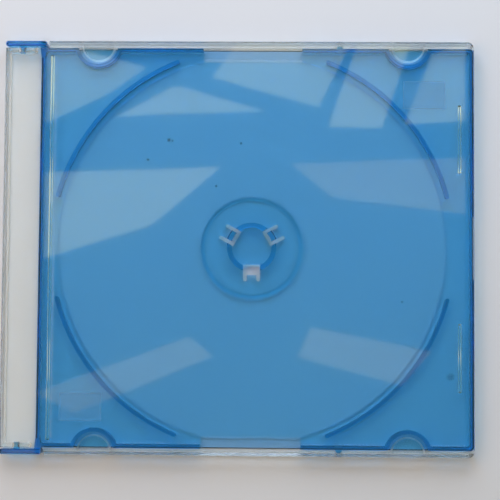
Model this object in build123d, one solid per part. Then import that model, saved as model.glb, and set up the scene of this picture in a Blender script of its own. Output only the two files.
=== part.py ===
from build123d import *
import math
import os

# A slim case for one compact disc, closed and lying on its tray. It is two mouldings: a clear lid and a
# tinted tray. X runs from the hinge spine to the opening edge, Y along the hinge, Z up. The origin is at
# the middle of the closed case, on its underside. All sizes are in millimetres.

# Whole case, closed. Its height follows from the stack of floor, disc and lid further down.
case_length = 142.0
case_width = 125.0

# The disc that the case is made for
disc_diameter = 120.0
disc_hole_diameter = 15.0
disc_thickness = 1.2
disc_centre_from_spine = 75.2

# Lid walls
lid_thickness = 1.2
rail_thickness = 1.3
spine_thickness = 1.2
rail_lift = 0.1
lid_corner_radius = 2.0
lid_edge_radius = 0.3
lid_foot_chamfer = 0.85

# Hinge: a pin on each ear of the tray turns in a hole of the lid's set-in side wall
pin_from_spine = 4.9
pin_diameter = 2.0
pin_clearance = 0.08
pin_overrun = 0.25
ear_thickness = 1.6
ear_gap = 0.5
ear_lap = 1.7
ear_corner_radius = 0.7
ear_edge_chamfer = 0.25
cheek_thickness = 1.2
cheek_length = 9.4
cheek_toe_radius = 2.2
swing_clearance = 0.45
rail_clearance = 0.35

# Tray
floor_thickness = 1.2
tray_wall = 1.2
side_gap = 0.7
lid_gap = 0.1
tray_corner_radius = 1.2
tray_inner_radius = 0.8
wall_foot_radius = 0.5
tray_edge_chamfer = 0.25
wall_edge_chamfer = 0.2
gusset_reach = 0.42
gusset_length = 2.6

# Disc recess in the floor and the four raised arcs round it
recess_depth = 0.3
recess_margin = 1.2
recess_slope = 0.3
arc_clearance = 0.3
arc_thickness = 1.2
arc_above_disc = 0.5
arc_start_angle = 14.9
arc_end_angle = 67.9
arc_edge_chamfer = 0.25

# Hub: a raised round seat, hollow below, with a ring wall and three sprung clips
seat_diameter = 31.0
seat_rise = 0.9
seat_thickness = 1.2
seat_wall = 1.2
seat_edge_chamfer = 0.2
ring_clearance = 0.05
ring_wall = 1.45
ring_chamfer = 0.3
ring_lid_gap = 0.2
clip_count = 3
clip_first_angle = 30.0
clip_width = 2.9
clip_slot = 1.1
clip_free_end = 6.25
clip_root = 9.65
clip_thickness = 0.9
clip_nose = 0.4
clip_nose_length = 0.65
clip_nose_lift = 0.1
clip_grip_gap = 0.05

# One clip has snapped off and is lost. Its stub ends here, and the count starts from nought.
broken_clip = 2
broken_stub_end = 8.3

# Finger notches in the long walls. The floor falls away there, steeply at first and then in a flat ramp.
notch_length = 30.0
ramp_length = 2.8
ramp_edge = 0.3
ramp_lead_length = 0.9
ramp_lead_drop = 0.33

# Half-round tabs on the lid's rails that hold the paper insert, and the pockets round them
tab_spacing = 94.2
tab_radius = 5.25
tab_reach = 4.7
tab_thickness = 1.0
tab_lead_chamfer = 0.55
tab_floor_gap = 0.3
pocket_gap = 0.85

# Ribs under the lid that stop the paper insert
rib_height = 1.1
rib_thickness = 1.0
rib_edge_chamfer = 0.3
long_rib_gap = 1.8
long_rib_inset = 1.1
short_rib_from_opening = 4.3
short_rib_length = 20.5
short_rib_spacing = 65.9

# Snap: a rounded nub on each side wall and a groove in each rail
snap_from_spine = 101.6
snap_radius = 1.0
snap_groove_gap = 0.3
snap_bottom = 0.8
snap_height = 2.0

# Finger grip in the opening wall, the step inside it, two bare raised panels and the lid's gate mark
grip_length = 19.0
grip_depth = 0.6
step_width = 1.2
step_height = 0.25
panel_length = 12.9
panel_width = 8.6
panel_height = 0.15
opening_panel_inset = (13.5, 12.5)
hinge_panel_inset = (11.7, 10.9)
gate_mark_diameter = 1.8
gate_mark_depth = 0.15

# How far a cut runs past the face that it opens
overrun = 1.0

# Heights, from the table up: the floor, the disc on its seat, the clips over it, and the lid
recess_floor = floor_thickness - recess_depth
seat_top = recess_floor + seat_rise
disc_top = seat_top + disc_thickness
arc_top = disc_top + arc_above_disc
grip_z = disc_top + clip_grip_gap
nose_top = grip_z + clip_nose_length
ring_top = nose_top + clip_nose_lift
ring_foot = seat_top - seat_edge_chamfer
lid_underside = ring_top + ring_lid_gap
case_height = lid_underside + lid_thickness
wall_top = lid_underside - lid_gap

# Places across the case, from its middle line out to the side
half_width = case_width / 2
rail_inner = half_width - rail_thickness
tray_half_width = rail_inner - side_gap
wall_inner = tray_half_width - tray_wall
ear_inner = half_width - ear_thickness
ear_middle = half_width - ear_thickness / 2
cheek_outer = ear_inner - ear_gap

# Places along the case
spine_x = -case_length / 2
opening_x = case_length / 2
pin_x = spine_x + pin_from_spine
pin_z = case_height / 2
disc_x = spine_x + disc_centre_from_spine
snap_x = spine_x + snap_from_spine

# Radii round the disc's centre
disc_radius = disc_diameter / 2
ring_outer = disc_hole_diameter / 2 - ring_clearance
seat_radius = seat_diameter / 2

# The spine's foot and its upper edge swing past the tray's hinge wall, which stands clear of both
foot_swing = math.hypot(pin_from_spine - lid_foot_chamfer, pin_z - rail_lift)
side_swing = math.hypot(pin_from_spine, pin_z - rail_lift - lid_foot_chamfer)
edge_height = case_height - pin_z - lid_edge_radius
edge_swing = math.hypot(pin_from_spine - lid_edge_radius, edge_height) + lid_edge_radius
swing_radius = max(foot_swing, side_swing, edge_swing)
tray_start = pin_x + swing_radius + swing_clearance
inside_start = tray_start + tray_wall
inside_end = opening_x - tray_wall
ear_end = tray_start + ear_lap

# The rails start where their ends swing clear of the ears
rail_start = pin_x + math.hypot(ear_end - pin_x, case_height / 2) + rail_clearance


def block(x0, x1, y0, y1, z0, z1):
    """A box between two corners."""
    box = Box(x1 - x0, y1 - y0, z1 - z0, align=(Align.MIN, Align.MIN, Align.MIN))
    return Pos(x0, y0, z0) * box


def strip(x0, x1, width, z0, z1):
    """A box that lies evenly on both sides of the X axis."""
    return block(x0, x1, -width / 2, width / 2, z0, z1)


def disc(x, y, radius, z0, z1):
    """An upright cylinder between two heights."""
    cylinder = Cylinder(radius, z1 - z0, align=(Align.CENTER, Align.CENTER, Align.MIN))
    return Pos(x, y, z0) * cylinder


def prism(face, z0, z1):
    """A flat outline raised between two heights."""
    return Pos(0, 0, z0) * extrude(face, amount=z1 - z0, dir=(0, 0, 1))


def both_sides(shape):
    """A shape and its mirror image across the case's long middle line."""
    return shape + mirror(shape, about=Plane.XZ)


def tab_centres():
    """Where the four half-round tabs are centred, in plan."""
    y = rail_inner - tab_reach + tab_radius
    for side in (-1, 1):
        for end in (-1, 1):
            yield disc_x + end * tab_spacing / 2, side * y


def tray_outline():
    """The tray's body in plan, with its two opening corners rounded."""
    length = opening_x - tray_start
    face = Pos(tray_start + length / 2, 0) * Rectangle(length, 2 * tray_half_width)
    corners = face.vertices().group_by(Axis.X)[-1]
    return fillet(corners, tray_corner_radius)


def tray_inside():
    """The space inside the tray's walls, with the walls of the four pockets left standing."""
    face = Pos((inside_start + inside_end) / 2, 0) * Rectangle(inside_end - inside_start, 2 * wall_inner)
    face = fillet(face.vertices(), tray_inner_radius)
    space = prism(face, floor_thickness, case_height)
    space = fillet(space.edges().group_by(Axis.Z)[0], wall_foot_radius)
    for x, y in tab_centres():
        space -= disc(x, y, tab_radius + pocket_gap + tray_wall, floor_thickness, case_height)
    return space


def finger_notches():
    """What is cut away for the fingers: a gap in each long wall and a ramp on the floor below it."""
    ramp_start = tray_half_width - ramp_length
    ramp_top = recess_floor - ramp_lead_drop
    slope = (ramp_top - ramp_edge) / ramp_length
    out = tray_half_width + overrun
    profile = Plane.YZ.offset(disc_x - notch_length / 2) * Polygon(
        (ramp_start - ramp_lead_length, recess_floor),
        (ramp_start, ramp_top),
        (out, ramp_edge - slope * overrun),
        (out, case_height),
        (ramp_start - ramp_lead_length, case_height),
        align=None,
    )
    return both_sides(extrude(profile, amount=notch_length, dir=(1, 0, 0)))


def tray_shell():
    """The floor and walls, with pockets round the tabs and the notches for the fingers."""
    shell = prism(tray_outline(), 0, wall_top)
    shell = chamfer(shell.edges().group_by(Axis.Z)[0], tray_edge_chamfer)
    shell -= tray_inside()
    for x, y in tab_centres():
        shell -= disc(x, y, tab_radius + pocket_gap, floor_thickness, case_height)
    shell -= finger_notches()
    return chamfer(shell.edges().group_by(Axis.Z)[-1], wall_edge_chamfer)


def ears():
    """The two arms past the corners of the lid, the webs that carry them, and their pins."""
    length = ear_end - spine_x
    plate = Pos(spine_x + length / 2, ear_middle) * Rectangle(length, ear_thickness)
    plate = fillet(plate.vertices(), ear_corner_radius)
    ear = prism(plate, 0, case_height)
    ear = chamfer(ear.edges().group_by(Axis.Z)[-1] + ear.edges().group_by(Axis.Z)[0], ear_edge_chamfer)
    gusset_tip = tray_start - gusset_reach
    gusset_root = tray_half_width - gusset_length
    web = Polygon(
        (gusset_tip, ear_middle),
        (gusset_tip, ear_inner),
        (tray_start, gusset_root),
        (tray_start + tray_wall, gusset_root),
        (ear_end, tray_half_width),
        (ear_end - ear_corner_radius, ear_middle),
        align=None,
    )
    ear += prism(web, 0, wall_top)
    pin_length = ear_thickness / 2 + ear_gap + cheek_thickness + pin_overrun
    pin = Cylinder(pin_diameter / 2, pin_length, align=(Align.CENTER, Align.CENTER, Align.MIN))
    pin = chamfer(pin.edges().group_by(Axis.Z)[-1], pin_overrun)
    ear += Pos(pin_x, ear_middle, pin_z) * Rot(90, 0, 0) * pin
    return both_sides(ear)


def recess():
    """The round hollow in the floor under the disc, with a sloping edge."""
    radius = disc_radius - recess_margin
    hollow = Cone(radius, radius + recess_slope, recess_depth, align=(Align.CENTER, Align.CENTER, Align.MIN))
    floor = strip(inside_start, inside_end, 2 * wall_inner, 0, floor_thickness)
    return (Pos(disc_x, 0, recess_floor) * hollow) & floor


def disc_arcs():
    """Four arcs just outside the disc that keep it from sliding, with round ends."""
    inner = disc_radius + arc_clearance
    middle = inner + arc_thickness / 2
    height = arc_top - recess_floor
    section = Plane.XZ * Pos(middle, recess_floor + height / 2) * Rectangle(arc_thickness, height)
    arc = Rot(0, 0, arc_start_angle) * revolve(section, Axis.Z, arc_end_angle - arc_start_angle)
    for angle in (arc_start_angle, arc_end_angle):
        arc += Rot(0, 0, angle) * disc(middle, 0, arc_thickness / 2, recess_floor, arc_top)
    arc = chamfer(arc.edges().group_by(Axis.Z)[-1], arc_edge_chamfer)
    arcs = arc + mirror(arc, about=Plane.YZ)
    arcs += mirror(arcs, about=Plane.XZ)
    walls = strip(inside_start - tray_wall / 2, inside_end + tray_wall / 2, 2 * wall_inner, 0, wall_top)
    return (Pos(disc_x, 0, 0) * arcs) & walls


def clip_slot_cut():
    """The U-shaped slot that frees a clip on three sides, with round ends, for the clip on the X axis."""
    low = -overrun
    cut = strip(clip_free_end - clip_slot, clip_root, clip_width + 2 * clip_slot, low, case_height)
    cut -= strip(clip_free_end, seat_radius, clip_width, low, case_height)
    for side in (-1, 1):
        cut += disc(clip_root, side * (clip_width + clip_slot) / 2, clip_slot / 2, low, case_height)
    return cut


def clip_hook():
    """The piece of ring that stands on a clip, with a nose outside that snaps over the disc's edge."""
    section = Plane.XZ * Polygon(
        (clip_free_end, ring_foot),
        (ring_outer, ring_foot),
        (ring_outer, grip_z),
        (ring_outer + clip_nose, (grip_z + nose_top) / 2),
        (ring_outer, nose_top),
        (clip_free_end, nose_top),
        align=None,
    )
    return revolve(section, Axis.Z, 360) & strip(0, seat_radius, clip_width, ring_foot, nose_top)


def hub():
    """The seat, its ring wall and the sprung clips, centred on the origin."""
    turns = [Rot(0, 0, clip_first_angle + index * 360 / clip_count) for index in range(clip_count)]
    seat = disc(0, 0, seat_radius, 0, seat_top)
    for turn in turns:
        seat -= turn * clip_slot_cut()
    seat = chamfer(seat.edges().group_by(Axis.Z)[-1], seat_edge_chamfer)
    ring = disc(0, 0, ring_outer, ring_foot, ring_top)
    ring -= disc(0, 0, ring_outer - ring_wall, ring_foot, ring_top)
    ring = chamfer(ring.edges().group_by(Axis.Z)[-1], ring_chamfer)
    body = seat + ring
    body -= disc(0, 0, seat_radius - seat_wall, 0, seat_top - seat_thickness)
    slot_start = clip_free_end - clip_slot
    ring_over_clip = strip(slot_start, clip_root, clip_width + clip_slot, seat_top, ring_top)
    relief = strip(slot_start, clip_root, clip_width + clip_slot, 0, seat_top - clip_thickness)
    lost_end = strip(slot_start, broken_stub_end, clip_width + clip_slot, 0, seat_top)
    for index, turn in enumerate(turns):
        body -= turn * clip_slot_cut()
        body -= turn * ring_over_clip
        body -= turn * relief
        if index == broken_clip:
            body -= turn * lost_end
        else:
            body += turn * clip_hook()
    return body


def bare_panels():
    """Two low raised rectangles on the floor, set in from two opposite corners."""
    panel = Pos(0, 0, floor_thickness) * Box(panel_length, panel_width, 2 * panel_height)
    by_opening = Pos(inside_end - opening_panel_inset[0], wall_inner - opening_panel_inset[1]) * panel
    by_hinge = Pos(inside_start + hinge_panel_inset[0], hinge_panel_inset[1] - wall_inner) * panel
    return by_opening + by_hinge


def make_tray():
    """The tinted moulding: floor, walls, ears, hub, arcs and the snap nubs."""
    tray = tray_shell() + ears() - recess()
    tray -= disc(disc_x, 0, seat_radius - seat_wall, 0, floor_thickness)
    tray += Pos(disc_x, 0, 0) * hub()
    tray += disc_arcs()
    nub = disc(snap_x, tray_half_width, snap_radius, snap_bottom, snap_bottom + snap_height)
    tray += both_sides(nub)
    tray -= strip(opening_x - grip_depth, opening_x + overrun, grip_length, floor_thickness, case_height)
    step_top = floor_thickness + step_height
    tray += strip(inside_end - step_width, inside_end, 2 * wall_inner, floor_thickness, step_top)
    return tray + bare_panels()


def lid_outline():
    """The lid in plan: full width past the ears, narrower between them."""
    length = opening_x - rail_start
    wide = Pos(rail_start + length / 2, 0) * Rectangle(length, case_width)
    wide = fillet(wide.vertices().group_by(Axis.X)[-1], lid_corner_radius)
    neck = rail_start - spine_x
    return wide + Pos(spine_x + neck / 2, 0) * Rectangle(neck, 2 * cheek_outer)


def foot_edges(body):
    """The lower edges of the lid's body along the spine, the two sides and the round opening corners."""
    low = body.edges().group_by(Axis.Z)[0]
    along_hinge = low.group_by(Axis.X)[0]
    sides = low.group_by(Axis.Y)[0] + low.group_by(Axis.Y)[-1]
    return along_hinge + sides + low.filter_by(GeomType.CIRCLE)


def cheeks():
    """The two set-in side walls of the hinge end, each with a hole for a pin."""
    profile = Plane.XZ * Polygon(
        (spine_x + lid_foot_chamfer, rail_lift),
        (spine_x + cheek_length, rail_lift),
        (spine_x + cheek_length, lid_underside),
        (spine_x, lid_underside),
        (spine_x, rail_lift + lid_foot_chamfer),
        align=None,
    )
    toe = profile.vertices().sort_by(lambda v: v.X - v.Z)[-1]
    profile = fillet(toe, cheek_toe_radius)
    cheek = Pos(0, cheek_outer, 0) * extrude(profile, amount=cheek_thickness, dir=(0, -1, 0))
    hole = Cylinder(pin_diameter / 2 + pin_clearance, 2 * (cheek_thickness + overrun))
    cheek -= Pos(pin_x, cheek_outer, pin_z) * Rot(90, 0, 0) * hole
    return both_sides(cheek)


def insert_tabs():
    """The four half-round tabs that stand in from the rails under the paper insert."""
    low = floor_thickness + tab_floor_gap
    high = low + tab_thickness
    tabs = Part()
    for x, y in tab_centres():
        tab = disc(x, y, tab_radius, low, high)
        tabs += chamfer(tab.edges().group_by(Axis.Z)[-1], tab_lead_chamfer)
    return tabs & strip(rail_start, opening_x, 2 * rail_inner, low, high)


def insert_ribs():
    """The long rib by the hinge and the two short ones by the opening, under the lid's panel."""
    low = lid_underside - rib_height
    long_x = inside_start + long_rib_gap
    long_rib = strip(long_x, long_x + rib_thickness, 2 * (wall_inner - long_rib_inset), low, lid_underside)
    long_rib = chamfer(long_rib.edges().group_by(Axis.Z)[0], rib_edge_chamfer)
    short_x = opening_x - short_rib_from_opening - rib_thickness / 2
    short_y = (short_rib_spacing - short_rib_length) / 2
    short_end = short_y + short_rib_length
    short_rib = block(short_x, short_x + rib_thickness, short_y, short_end, low, lid_underside)
    short_rib = chamfer(short_rib.edges().group_by(Axis.Z)[0], rib_edge_chamfer)
    return long_rib + both_sides(short_rib)


def make_lid():
    """The clear moulding: panel, rails, spine, cheeks, tabs and ribs."""
    lid = prism(lid_outline(), rail_lift, case_height)
    lid = fillet(lid.edges().group_by(Axis.Z)[-1], lid_edge_radius)
    lid = chamfer(foot_edges(lid), lid_foot_chamfer)
    lid -= strip(spine_x + spine_thickness, rail_start, case_width, 0, lid_underside)
    lid -= strip(rail_start, opening_x + overrun, 2 * rail_inner, 0, lid_underside)
    lid += cheeks() + insert_tabs() + insert_ribs()
    groove_top = snap_bottom + snap_height + snap_groove_gap
    groove = disc(snap_x, tray_half_width, snap_radius + snap_groove_gap, 0, groove_top)
    lid -= both_sides(groove)
    gate_x = opening_x - short_rib_from_opening
    return lid - disc(gate_x, 0, gate_mark_diameter / 2, lid_underside, lid_underside + gate_mark_depth)


os.makedirs("parts", exist_ok=True)
export_step(make_tray(), "parts/tray.step")
export_step(make_lid(), "parts/lid.step")
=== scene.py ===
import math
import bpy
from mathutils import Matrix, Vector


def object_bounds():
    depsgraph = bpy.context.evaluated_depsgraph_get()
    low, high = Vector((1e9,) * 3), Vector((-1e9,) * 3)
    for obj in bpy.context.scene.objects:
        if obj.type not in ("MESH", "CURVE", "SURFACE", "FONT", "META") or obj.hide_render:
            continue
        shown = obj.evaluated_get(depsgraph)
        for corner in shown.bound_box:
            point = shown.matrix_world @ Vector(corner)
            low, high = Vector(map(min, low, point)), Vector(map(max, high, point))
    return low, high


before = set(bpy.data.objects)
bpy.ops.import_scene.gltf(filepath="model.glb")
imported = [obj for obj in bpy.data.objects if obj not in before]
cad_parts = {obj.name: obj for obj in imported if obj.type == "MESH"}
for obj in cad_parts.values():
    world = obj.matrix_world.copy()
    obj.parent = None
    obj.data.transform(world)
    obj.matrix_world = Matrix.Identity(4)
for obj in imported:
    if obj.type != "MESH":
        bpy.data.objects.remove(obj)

# %% [markdown]
# # A slim disc case in clear and tinted plastic
# The real object is two injection mouldings: a clear lid and a tinted tray that snap together and turn on
# two moulded pins. Their shapes come with the frame, down to the clips of the hub, so nothing is modelled
# here. What is left to do is the looks, and with clear plastic that is mostly light: what shines through it,
# what it mirrors, and how its edges gather colour. So this file is a lesson in lighting something you can
# see through. It goes from the camera to the table, the lamps, the things that the lid mirrors, and then the
# two plastics.

frame_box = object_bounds()
MM = 0.001
case_low, case_high = (Vector(corner) for corner in frame_box)
print("case, mm:", [round(side / MM, 1) for side in case_high - case_low])

# %% [markdown]
# ## Two small helpers
# A colour picked on a screen is an sRGB hex code, and shaders want linear light, so one function turns the
# one into the other. A shader is a tree of nodes, and one function adds a node with its settings and links.
# Wiring by hand in the shader editor does the same, click by click.

# %% Colours written as hex, turned to linear light
def linear(hex_code):
    """The linear colour of an sRGB hex code."""
    channels = [int(hex_code[i : i + 2], 16) / 255 for i in (1, 3, 5)]
    return tuple(c / 12.92 if c <= 0.04045 else ((c + 0.055) / 1.055) ** 2.4 for c in channels)


print("mid grey in linear light:", [round(c, 3) for c in linear("#808080")])

# %% A node with its settings and links
def add_node(tree, kind, settings=None, **links):
    """Adds a node. Settings are its own options, and links are values or sockets for its inputs.

    An input goes by its name, or by its place, as i0, where several share a name.
    """
    node = tree.nodes.new(kind)
    for name, value in (settings or {}).items():
        setattr(node, name, value)
    for name, value in links.items():
        key = int(name[1:]) if name[0] == "i" and name[1:].isdigit() else name.replace("_", " ")
        if isinstance(value, bpy.types.NodeSocket):
            tree.links.new(value, node.inputs[key])
        else:
            node.inputs[key].default_value = value
    return node


def new_material(name):
    """An empty material, with its tree and its output node."""
    material = bpy.data.materials.new(name)
    material.use_nodes = True
    tree = material.node_tree
    tree.nodes.clear()
    return material, tree, tree.nodes.new("ShaderNodeOutputMaterial")


# %% [markdown]
# ## Where the camera stands
# The case lies flat and is seen from nearly straight above. The camera could hang exactly over its middle,
# but then all four walls would look alike. Held a little towards the near edge and leaning forward by less
# than four degrees, it sees the far walls a touch steeper than the near ones, as a hand-held camera does. A
# long lens from 450 mm up keeps the walls from spreading.

# %% Camera
camera_place = Vector((13.76, -28.84, 450.0)) * MM
camera_turn = (3.603, 1.262, 0.426)
sensor_width = 36.0
lens_length = 106.8
nearest_seen = 10 * MM

camera_data = bpy.data.cameras.new("camera")
camera_data.sensor_width = sensor_width
camera_data.lens = lens_length
camera_data.clip_start = nearest_seen
camera = bpy.data.objects.new("camera", camera_data)
camera.location = camera_place
camera.rotation_euler = [math.radians(angle) for angle in camera_turn]
bpy.context.scene.collection.objects.link(camera)
bpy.context.scene.camera = camera
print("camera, mm above the table:", round(camera_place.z / MM))

# %% [markdown]
# ## The table
# What lies under clear plastic is half of how it looks, because the light that comes back up through the
# tray has to come from somewhere. A pure white sheet would do, but a painted top is never quite even, so two
# whites that differ by a hair are mixed in soft clouds as wide as a hand. The table keeps a hair's breadth
# under the case, as two faces in the same place would fight.

# %% Table
table_side = 4.0
table_gap = 0.03 * MM
cloud_width = 90 * MM

bpy.ops.object.select_all(action="DESELECT")
bpy.ops.mesh.primitive_plane_add(size=table_side, location=(0, 0, case_low.z - table_gap))
table = bpy.context.object
table.name = "table"
bpy.ops.object.transform_apply(location=True)

# Matt emulsion paint: an even white with no gloss to speak of
paint, tree, output = new_material("matt white paint")
place = add_node(tree, "ShaderNodeTexCoord").outputs["Object"]
clouds = add_node(tree, "ShaderNodeTexNoise", Vector=place, Scale=1 / cloud_width, Detail=3.0)
tone = add_node(
    tree,
    "ShaderNodeMix",
    {"data_type": "RGBA"},
    i0=clouds.outputs["Fac"],
    i6=(*linear("#E4E5E8"), 1),
    i7=(*linear("#E9E9E9"), 1),
)
matt = add_node(tree, "ShaderNodeBsdfPrincipled", Base_Color=tone.outputs[2], Roughness=0.75)
matt.inputs["Specular IOR Level"].default_value = 0.2
tree.links.new(matt.outputs[0], output.inputs["Surface"])
table.data.materials.append(paint)
print("table:", table.name)

# %% [markdown]
# ## Two lamps and a room
# Much of the light is the soft light of the whole room, which outlines ribs and tabs evenly on all sides.
# Two lamps give it a direction. A large cool window stands at the far side and a smaller warm lamp at the
# left, both near, so the light fades across the table. Each throws a soft shadow: the near edge of the case
# shades the table from the window and leaves it warm, and the right edge shades it from the lamp and leaves
# it cool. The strength of a lamp is given as the brightness of its face, as that is what plastic mirrors.

# %% Lamps
def area_lamp(name, place, size, radiance, colour):
    """A rectangular lamp that faces the middle of the table."""
    data = bpy.data.lights.new(name, "AREA")
    data.shape = "RECTANGLE"
    data.size, data.size_y = size
    data.color = linear(colour)
    data.energy = 4 * radiance * size[0] * size[1]
    lamp = bpy.data.objects.new(name, data)
    lamp.location = place
    lamp.rotation_euler = (-Vector(place)).to_track_quat("-Z", "Y").to_euler()
    lamp.visible_camera = False
    bpy.context.scene.collection.objects.link(lamp)
    return lamp


window = area_lamp("window", (0.0, 0.40, 0.30), (0.55, 0.40), 2.8, "#CCE2FF")
side_lamp = area_lamp("side lamp", (-0.38, 0.06, 0.50), (0.36, 0.36), 1.5, "#FFCBA8")
print("lamps:", window.name, "and", side_lamp.name)

# %% [markdown]
# The room round them is the world. Clear edges bend the view sideways, so what they show is the wall of the
# room, and a wall in daylight is brighter than the ceiling. A world of one grey would make every edge dull,
# so it runs from pale walls to a ceiling a little darker. The camera itself sees a plain pale backdrop.

# %% Room
wall_top = 0.25
ceiling_edge = 0.50

world = bpy.data.worlds.new("room")
bpy.context.scene.world = world
world.use_nodes = True
room = world.node_tree
room.nodes.clear()
direction = add_node(room, "ShaderNodeTexCoord")
height = add_node(room, "ShaderNodeSeparateXYZ", Vector=direction.outputs["Generated"])
rise = add_node(
    room, "ShaderNodeMapRange", Value=height.outputs["Z"], From_Min=wall_top, From_Max=ceiling_edge
)
shade = add_node(
    room,
    "ShaderNodeMix",
    {"data_type": "RGBA"},
    i0=rise.outputs[0],
    i6=(*linear("#B4B2AA"), 1),
    i7=(*linear("#A29F92"), 1),
)
around = add_node(room, "ShaderNodeBackground", Color=shade.outputs[2])
backdrop = add_node(room, "ShaderNodeBackground", Color=(*linear("#DCDCDB"), 1))
ray = add_node(room, "ShaderNodeLightPath")
seen = add_node(
    room, "ShaderNodeMixShader", i0=ray.outputs["Is Camera Ray"], i1=around.outputs[0], i2=backdrop.outputs[0]
)
add_node(room, "ShaderNodeOutputWorld", Surface=seen.outputs[0])
print("room nodes:", len(room.nodes))

# %% [markdown]
# ## What the lid mirrors
# Seen from above, the flat lid mirrors the ceiling over the camera. Under an even ceiling it would look like
# no surface at all, so pale cards hang there, and their soft images tell the eye that there is a glossy
# panel over the tray. A card could be placed by trial, but its image is found faster by working backwards:
# from a point on the lid, the mirrored ray climbs as steeply as the one to the camera, so the place on the
# ceiling follows from the heights. A card is one flat colour that drifts into another in soft clouds, and
# the cards don't light the table, they only show in the plastic.

# %% Ceiling cards
ceiling_height = 1.2
mirror_rise = (ceiling_height - case_high.z) / (camera_place.z - case_high.z)
card_drop = 10 * MM
card_cloud_width = 90 * MM


def card_paint(name, colour, shade_colour):
    """A card that shines in one colour and fades to another in soft clouds."""
    material, tree, output = new_material(name)
    place = add_node(tree, "ShaderNodeTexCoord").outputs["Object"]
    clouds = add_node(tree, "ShaderNodeTexNoise", Vector=place, Scale=1 / card_cloud_width, Detail=3.0)
    uneven = add_node(
        tree,
        "ShaderNodeMix",
        {"data_type": "RGBA"},
        i0=clouds.outputs["Fac"],
        i6=(*linear(colour), 1),
        i7=(*linear(shade_colour), 1),
    )
    glow = add_node(tree, "ShaderNodeEmission", Color=uneven.outputs[2])
    tree.links.new(glow.outputs[0], output.inputs["Surface"])
    return material


def ceiling_card(name, corners, material, height):
    """A flat card. Its corners are given where the closed lid mirrors them, in millimetres."""
    bpy.ops.object.select_all(action="DESELECT")
    bpy.ops.mesh.primitive_plane_add(size=1.0, location=(0, 0, 0))
    card = bpy.context.object
    card.name = name
    for index, (x, y) in zip(card.data.polygons[0].vertices, corners):
        on_lid = Vector((x, y)) * MM
        above = on_lid + (on_lid - camera_place.xy) * mirror_rise
        card.data.vertices[index].co = (above.x, above.y, height)
    card.data.materials.append(material)
    card.visible_camera = False
    card.visible_diffuse = False
    card.visible_shadow = False


whole_ceiling = [(-90, -90), (90, -90), (90, 90), (-90, 90)]
ceiling_card("ceiling", whole_ceiling, card_paint("dim ceiling", "#5595B0", "#4B87A2"), ceiling_height)
pale = card_paint("pale card", "#EEFCE2", "#DAEECC")
soft = card_paint("soft card", "#C4D2C6", "#B0C0B4")
warm = card_paint("warm card", "#FFF6D0", "#FFEEBE")
cards = {
    "card_far_left": (pale, [(-58, 62), (-28, 54), (-39, 46), (-58, 37)]),
    "card_far_wedge": (pale, [(-37, 39), (8, 41), (-17, 48), (-20, 48)]),
    "card_far_middle": (pale, [(-8, 51), (24, 42), (34, 62), (0, 62)]),
    "card_far_right": (pale, [(27, 36), (43, 36), (52, 62), (36, 62)]),
    "card_far_corner": (pale, [(50, 37), (68, 38), (68, 62), (58, 58)]),
    "card_left": (pale, [(-58, 22), (-58, -4), (-26, 6), (-5, 24)]),
    "card_right": (soft, [(16, 25), (28, 15), (68, 10), (68, 27)]),
    "card_near_left": (soft, [(-60, -44), (-48, -50), (-7, -33), (-14, -27)]),
    "card_near_right": (soft, [(18, -33), (49, -41), (58, -31), (22, -24)]),
    "card_spine": (warm, [(-70, -66), (-60, -66), (-60, 66), (-70, 66)]),
}
for name, (paint, corners) in cards.items():
    ceiling_card(name, corners, paint, ceiling_height - card_drop)
print("cards:", len(cards))

# %% [markdown]
# ## Crystal polystyrene
# Both pieces are crystal polystyrene, a hard clear plastic that bends light more than window glass. It is
# injected hot into a polished steel mould, so its faces are glossy but not quite flat, and years of handling
# leave a faint haze. Its colour could be painted on the surface, but then a thick wall would be no darker
# than a thin floor. So most of the tint is in the body of the plastic, and grows with the depth that the
# light has to cross. With all of it there, a tint that suits the thin floor would turn the thick walls nearly
# black, so a part of it stays on the surface. That is a choice and no property of the dye.

# %% Measures of the plastic
polystyrene_ior = 1.59
haze_width = 14 * MM
ripple_width = 22 * MM
ripple_height = 0.006 * MM
blue_body_tint = "#C4F2FB"


def absorption(tint, depth):
    """The density and colour of a body that tints white light so after a depth."""
    rates = [-math.log(channel) / depth for channel in linear(tint)]
    density = max(rates)
    return density, (*(1 - rate / density for rate in rates), 1)


print("deepest channel of the blue body, per mm:", round(absorption(blue_body_tint, 1 * MM)[0] * MM, 3))

# %% [markdown]
# ## Marks of the mould, and dark spots
# Two small rectangles of the tray are matt, as a mould leaves them where it is spark-eroded. They are bare,
# a hair higher than the floor, and the mesh has that step. A paler tint on them is painted sheen, for the
# light that a matt face scatters, and it is strongest on their rims. The lid has a few small dark spots and
# one wide faint one. They could be modelled one by one, but they are far thinner than any face of the mesh.
# So a mask says how much of a mark a place has, from 0 to 1, and the plastic changes its roughness and tint
# by that.

# %% Where the marks are
bare_panels = [(56.3, 46.8), (-47.3, -48.4)]
panel_half = (6.45, 4.3)
panel_level = 1.35
panel_reach = 1.0
panel_rim = 0.3
panel_inside = 0.75
speck_core = 0.2
# Small dark spots on the lid: each darkens the tint and roughens the face.
specks = [  # x, y and radius in mm, and how strong it is
    (-21.0, 32.3, 0.75, 0.75),
    (-20.0, 32.1, 0.5, 0.4),
    (-27.3, 26.3, 0.55, 0.45),
    (0.8, 31.4, 0.5, 0.5),
    (-6.6, 18.4, 0.5, 0.45),
    (49.4, -16.2, 0.5, 0.3),
    (63.9, -38.5, 1.6, 0.3),
]


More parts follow.
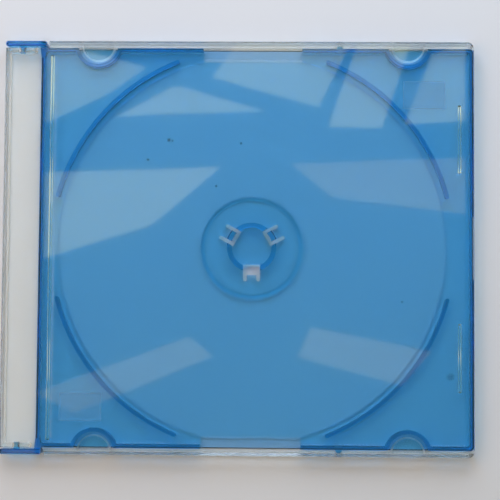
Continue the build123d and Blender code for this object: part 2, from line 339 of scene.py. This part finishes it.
def matt_panels_and_sheen(tree, place):
    """The mask of the bare panels and their painted sheen: 1 on their rims, less inside, and 0 elsewhere."""
    half = (panel_half[0] * MM, panel_half[1] * MM, panel_reach * MM)
    nearest = None
    minus = {"operation": "SUBTRACT"}
    greater = {"operation": "MAXIMUM"}
    for x, y in bare_panels:
        middle = (x * MM, y * MM, panel_level * MM)
        away = add_node(tree, "ShaderNodeVectorMath", minus, i0=place, i1=middle)
        away = add_node(tree, "ShaderNodeVectorMath", {"operation": "ABSOLUTE"}, i0=away.outputs[0])
        away = add_node(tree, "ShaderNodeVectorMath", minus, i0=away.outputs[0], i1=half)
        axis = add_node(tree, "ShaderNodeSeparateXYZ", Vector=away.outputs[0]).outputs
        beyond = add_node(tree, "ShaderNodeMath", greater, i0=axis["X"], i1=axis["Y"])
        beyond = add_node(tree, "ShaderNodeMath", greater, i0=beyond.outputs[0], i1=axis["Z"])
        if nearest:
            beyond = add_node(
                tree, "ShaderNodeMath", {"operation": "MINIMUM"}, i0=beyond.outputs[0], i1=nearest.outputs[0]
            )
        nearest = beyond
    inside = add_node(tree, "ShaderNodeMath", {"operation": "LESS_THAN"}, i0=nearest.outputs[0], i1=0.0)
    half_rim = panel_rim / 2 * MM
    rim = add_node(
        tree, "ShaderNodeMath", {"operation": "COMPARE"}, i0=nearest.outputs[0], i1=-half_rim, i2=half_rim
    )
    # The rim gets the full mark and the inside less, so the painted sheen is strongest on a line along the
    # step.
    mix = {"operation": "MULTIPLY_ADD"}
    mask = add_node(tree, "ShaderNodeMath", mix, i0=rim.outputs[0], i1=1 - panel_inside, i2=0.0)
    mask = add_node(tree, "ShaderNodeMath", mix, i0=inside.outputs[0], i1=panel_inside, i2=mask.outputs[0])
    return mask.outputs[0]


def dark_spots(tree, place):
    """The mask of the specks: each fades from its own strength at the middle to 0 at its rim."""
    flat = add_node(tree, "ShaderNodeVectorMath", {"operation": "MULTIPLY"}, i0=place, i1=(1, 1, 0))
    mask = None
    for x, y, radius, strength in specks:
        away = add_node(
            tree,
            "ShaderNodeVectorMath",
            {"operation": "DISTANCE"},
            i0=flat.outputs[0],
            i1=(x * MM, y * MM, 0),
        )
        spot = add_node(
            tree,
            "ShaderNodeMapRange",
            {"interpolation_type": "SMOOTHSTEP"},
            Value=away.outputs["Value"],
            From_Min=speck_core * radius * MM,
            From_Max=radius * MM,
            To_Min=strength,
            To_Max=0.0,
        )
        if mask:
            spot = add_node(
                tree, "ShaderNodeMath", {"operation": "MAXIMUM"}, i0=spot.outputs[0], i1=mask.outputs[0]
            )
        mask = spot
    return mask.outputs[0]


print("panels:", len(bare_panels), "specks:", len(specks))

# %% [markdown]
# ## Matt edges of the lid
# The rims of the four half-round tabs show as pale lines on the real case, and its rails are pale down to
# the foot. With polished edges this lid shows the lower rims hardly at all, and the foot of a rail nearly
# black. A matt edge scatters light towards every side, so it shows pale. That a handled case has rubbed
# edges is likely, but from above it can't be told from a bright line on a polished edge, so it is a guess.

# %% Where the lid is matt
worn_foot = 0.9
worn_roughness = 0.45
tab_middles = [(x, y) for x in (-42.9, 51.3) for y in (-61.75, 61.75)]
tab_rim = 5.0
tab_rim_reach = 0.3
tab_level = 3.0


def worn_edges(tree, place):
    """The mask of the matt edges of the lid: 1 on them and 0 elsewhere."""
    level = add_node(tree, "ShaderNodeSeparateXYZ", Vector=place).outputs["Z"]
    mask = add_node(tree, "ShaderNodeMath", {"operation": "LESS_THAN"}, i0=level, i1=worn_foot * MM)
    under = add_node(tree, "ShaderNodeMath", {"operation": "LESS_THAN"}, i0=level, i1=tab_level * MM)
    flat = add_node(tree, "ShaderNodeVectorMath", {"operation": "MULTIPLY"}, i0=place, i1=(1, 1, 0))
    for x, y in tab_middles:
        away = add_node(
            tree,
            "ShaderNodeVectorMath",
            {"operation": "DISTANCE"},
            i0=flat.outputs[0],
            i1=(x * MM, y * MM, 0),
        )
        rim = add_node(
            tree,
            "ShaderNodeMath",
            {"operation": "COMPARE"},
            i0=away.outputs["Value"],
            i1=tab_rim * MM,
            i2=tab_rim_reach * MM,
        )
        rim = add_node(
            tree, "ShaderNodeMath", {"operation": "MULTIPLY"}, i0=rim.outputs[0], i1=under.outputs[0]
        )
        mask = add_node(
            tree, "ShaderNodeMath", {"operation": "MAXIMUM"}, i0=rim.outputs[0], i1=mask.outputs[0]
        )
    return mask.outputs[0]


print("tabs with matt rims:", len(tab_middles))

# %% [markdown]
# ## The surface itself
# Haze and ripple are two patterns with two real sizes. The haze is as wide as a thumb: it changes the
# roughness, and the tint by a trace, as a dye never mixes quite evenly. The ripple is wider, and only bends
# what the surface mirrors. The arcs and the ring are a deeper blue on the real case than the body tint gives
# them here, so their faces are tinted a little deeper. They are found by their height, which is over
# the seat and under the lid.

# %% A moulded and handled surface
swirl_strength = 0.92
rib_level = 3.05
rib_reach = 1.0


def moulded_polystyrene(name, tint, body_tint, body_depth, rib_tint, roughness, marks, spot_and_sheen_look, wear=None):
    """Clear plastic. Marks and wear each add a mask. The look of a mark is a roughness and a tint."""
    material, tree, output = new_material(name)
    place = add_node(tree, "ShaderNodeTexCoord").outputs["Object"]
    mask = marks(tree, place)
    mark_roughness, spot_and_sheen_tint = spot_and_sheen_look

    haze = add_node(tree, "ShaderNodeTexNoise", Vector=place, Scale=1 / haze_width, Detail=2.0)
    rough = add_node(
        tree, "ShaderNodeMapRange", Value=haze.outputs["Fac"], To_Min=roughness[0], To_Max=roughness[1]
    )
    rougher = add_node(tree, "ShaderNodeMix", i0=mask, i2=rough.outputs[0], i3=mark_roughness)
    if wear:
        worn = wear(tree, place)
        rougher = add_node(tree, "ShaderNodeMix", i0=worn, i2=rougher.outputs[0], i3=worn_roughness)
    pale_tint = tuple(1 - (1 - channel) * swirl_strength for channel in linear(tint))
    swirl = add_node(
        tree,
        "ShaderNodeMix",
        {"data_type": "RGBA"},
        i0=haze.outputs["Fac"],
        i6=(*linear(tint), 1),
        i7=(*pale_tint, 1),
    )
    # On the tray this pale tint is painted sheen on the matt panels; on the lid it darkens the spots.
    spotted_and_sheened = add_node(
        tree,
        "ShaderNodeMix",
        {"data_type": "RGBA"},
        i0=mask,
        i6=swirl.outputs[2],
        i7=(*linear(spot_and_sheen_tint), 1),
    )

    level = add_node(tree, "ShaderNodeSeparateXYZ", Vector=place).outputs["Z"]
    on_rib = add_node(
        tree,
        "ShaderNodeMath",
        {"operation": "COMPARE"},
        i0=level,
        i1=rib_level * MM,
        i2=rib_reach * MM,
    )
    deeper = add_node(
        tree,
        "ShaderNodeMix",
        {"data_type": "RGBA", "blend_type": "MULTIPLY"},
        i0=on_rib.outputs[0],
        i6=spotted_and_sheened.outputs[2],
        i7=(*linear(rib_tint), 1),
    )

    ripple = add_node(tree, "ShaderNodeTexNoise", Vector=place, Scale=1 / ripple_width, Detail=0.0)
    wavy = add_node(tree, "ShaderNodeBump", Height=ripple.outputs["Fac"], Distance=ripple_height)
    wavy.inputs["Strength"].default_value = 1.0

    surface = add_node(
        tree,
        "ShaderNodeBsdfPrincipled",
        Base_Color=deeper.outputs[2],
        Roughness=rougher.outputs[0],
        IOR=polystyrene_ior,
        Transmission_Weight=1.0,
        Normal=wavy.outputs[0],
    )
    tree.links.new(surface.outputs[0], output.inputs["Surface"])
    density, colour = absorption(body_tint, body_depth)
    body = add_node(tree, "ShaderNodeVolumeAbsorption", Color=colour, Density=density)
    tree.links.new(body.outputs[0], output.inputs["Volume"])
    return material


def dress(node, material):
    """Puts a material on a node of the frame."""
    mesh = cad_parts[node].data
    mesh.materials.clear()
    mesh.materials.append(material)


# %% [markdown]
# ## Dressing the two pieces
# The tray is dyed blue, and the lid has no dye, only the faint cold green of clear polystyrene. The matt
# panels of the tray are rougher, and a paler tint is painted on them as painted sheen, for the light that
# their matt face scatters, strongest on a rim where the mould steps. The specks of the lid are dark. The lid
# has no dye for its ribs to deepen, so its rib tint is plain white.

# %% The two plastics
blue = moulded_polystyrene(
    "blue crystal polystyrene",
    tint="#D3E6FF",
    body_tint=blue_body_tint,
    body_depth=1 * MM,
    rib_tint="#78E4F6",
    roughness=(0.02, 0.035),
    marks=matt_panels_and_sheen,
    # A rougher face and a pale tint, painted sheen for the light that a matt face scatters.
    spot_and_sheen_look=(0.3, "#FFEAFF"),
)
clear = moulded_polystyrene(
    "clear crystal polystyrene",
    tint="#FCFDFD",
    body_tint="#F8FAF9",
    body_depth=5 * MM,
    rib_tint="#FFFFFF",
    roughness=(0.015, 0.03),
    marks=dark_spots,
    spot_and_sheen_look=(0.2, "#3E4A44"),
    wear=worn_edges,
)
dress("tray", blue)
dress("lid", clear)
print("dressed:", list(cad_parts))

# %% [markdown]
# ## How far light is followed
# A ray that crosses the closed case meets four faces on its way down to the table and four on its way back,
# and many more where it is caught in a wall or a rib. With few bounces it would end inside and leave a black
# spot, so it gets enough for both ways. Blurring the reflections and clamping bright spots would be faster,
# but both would dull the bright lines on the edges.

# %% Light paths
cycles = bpy.context.scene.cycles
cycles.max_bounces = 18
cycles.transmission_bounces = 18
cycles.glossy_bounces = 8
cycles.diffuse_bounces = 3
cycles.blur_glossy = 0.0
cycles.sample_clamp_indirect = 0.0
bpy.context.scene.view_settings.view_transform = "Standard"
